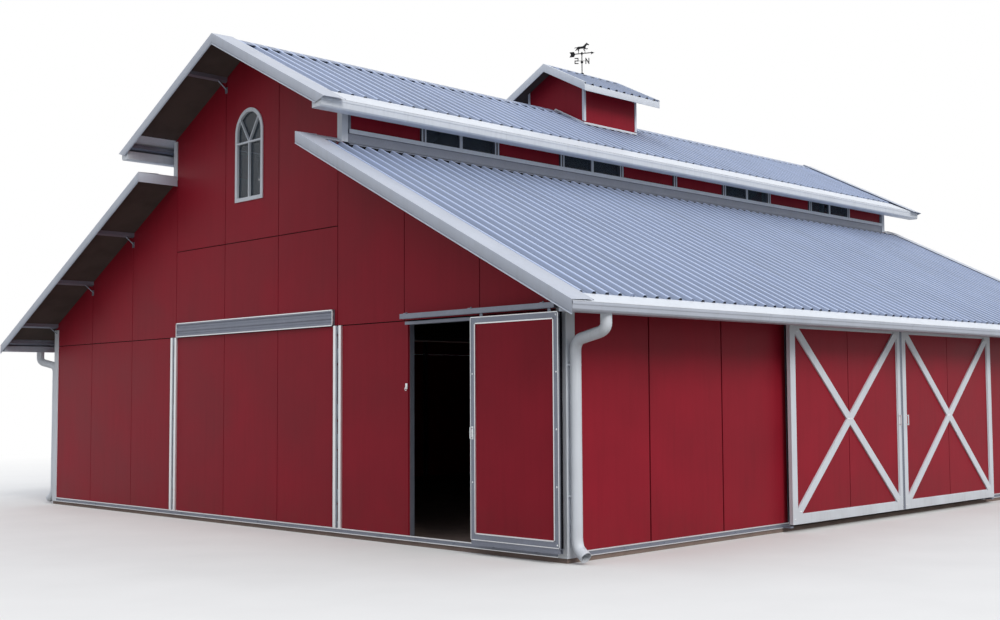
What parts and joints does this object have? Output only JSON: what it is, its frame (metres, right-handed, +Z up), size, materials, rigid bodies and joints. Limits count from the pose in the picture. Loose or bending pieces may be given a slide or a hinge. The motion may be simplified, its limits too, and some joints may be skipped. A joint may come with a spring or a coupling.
{
  "type": "red barn with a raised centre aisle",
  "caption": "Red metal-panel barn with a raised centre aisle, ribbed roofs, white trim and gutters, sliding doors, clerestory windows and a cupola with a weathervane.",
  "frame": {"origin": "middle of the footprint, on the ground under the floor slab", "axes": "+Z up, +Y from the door gable towards the rear gable, +X towards the long wall with the pair of side doors"},
  "size_m": [12.2528, 13.352, 7.2877],
  "materials": {
    "red_panel": "satin red",
    "white_trim": "satin white",
    "roof_sheet": "satin blue-grey",
    "galvanised": "galvanised spangle",
    "bright_steel": "brushed",
    "black_iron": "matte black",
    "dark_glass": "clear",
    "concrete": "cast concrete"
  },
  "bodies": {
    "barn": {"floor_slab": "concrete", "base_channel": "galvanised", "corner_trim": "white_trim", "frame_posts": "galvanised", "frame_beams": "galvanised", "rafters": "galvanised", "wall_studs": "galvanised", "wall_girts": "galvanised", "purlins": "galvanised", "front_wall_lower": "red_panel", "front_wall_upper": "red_panel", "window_panel": "red_panel", "rear_wall_lower": "red_panel", "rear_wall_upper": "red_panel", "left_wall": "red_panel", "right_wall": "red_panel", "centre_jambs": "galvanised", "centre_header": "galvanised", "front_door_frame": "galvanised", "front_door_track": "galvanised", "door_latch": "bright_steel", "side_door_frame": "galvanised", "side_door_track": "white_trim", "side_door_guides": "galvanised", "clerestory_frame_right": "galvanised", "clerestory_frame_left": "galvanised", "clerestory_panels": "red_panel", "clerestory_glass": "dark_glass", "arched_window_frame": "white_trim", "arched_window_glass": "dark_glass", "low_roof_right": "roof_sheet", "low_roof_left": "roof_sheet", "raised_roof": "roof_sheet", "ridge_cap": "roof_sheet", "rake_trim_low": "white_trim", "rake_trim_raised": "white_trim", "eave_trim": "white_trim", "roof_flashing": "roof_sheet", "low_gutters": "white_trim", "raised_gutters": "white_trim", "downspouts": "white_trim", "cupola_walls": "red_panel", "cupola_trim": "white_trim", "cupola_roof": "roof_sheet", "vane_mast": "black_iron"},
    "front_leaf": {"front_leaf_frame": "galvanised", "front_leaf_panel": "red_panel", "front_leaf_pull": "bright_steel"},
    "near_leaf": {"near_leaf_frame": "white_trim", "near_leaf_panels": "red_panel", "near_leaf_pull": "bright_steel"},
    "far_leaf": {"far_leaf_frame": "white_trim", "far_leaf_panels": "red_panel", "far_leaf_pull": "bright_steel"},
    "vane": {"weathervane": "black_iron"}
  },
  "joints": [
    {"name": "front_door", "type": "slide", "parent": "barn", "child": "front_leaf", "axis": [-1, 0, 0], "range_m": [0, 1.21]},
    {"name": "near_side_door", "type": "slide", "parent": "barn", "child": "near_leaf", "axis": [0, -1, 0], "range_m": [0, 2.43]},
    {"name": "far_side_door", "type": "slide", "parent": "barn", "child": "far_leaf", "axis": [0, 1, 0], "range_m": [0, 2.43]},
    {"name": "vane_turn", "type": "hinge", "parent": "barn", "child": "vane", "pos_m": [0, 0, 7.11], "axis": [0, 0, 1], "continuous": true}
  ]
}
